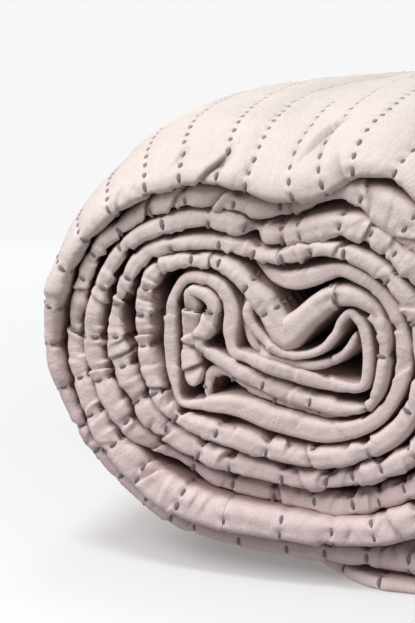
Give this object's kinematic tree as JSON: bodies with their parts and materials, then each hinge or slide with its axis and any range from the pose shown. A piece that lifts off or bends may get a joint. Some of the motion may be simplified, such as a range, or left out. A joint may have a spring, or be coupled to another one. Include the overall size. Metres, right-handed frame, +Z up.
{
  "type": "rolled bedspread",
  "caption": "Quilted cotton bedspread, folded lengthwise and rolled up, lying on its side with the tail of the roll flat under it and running stitches along its length.",
  "frame": {"origin": "on the floor, under the middle of the roll's bounding box", "axes": "+Z up, Y along the roll; the end that shows the winding faces -Y, and the tail lies towards +X"},
  "size_m": [0.2632, 0.62, 0.2433],
  "materials": {
    "quilted_cotton": "matte"
  },
  "bodies": {
    "root": {"bedspread": "quilted_cotton"}
  },
  "joints": []
}
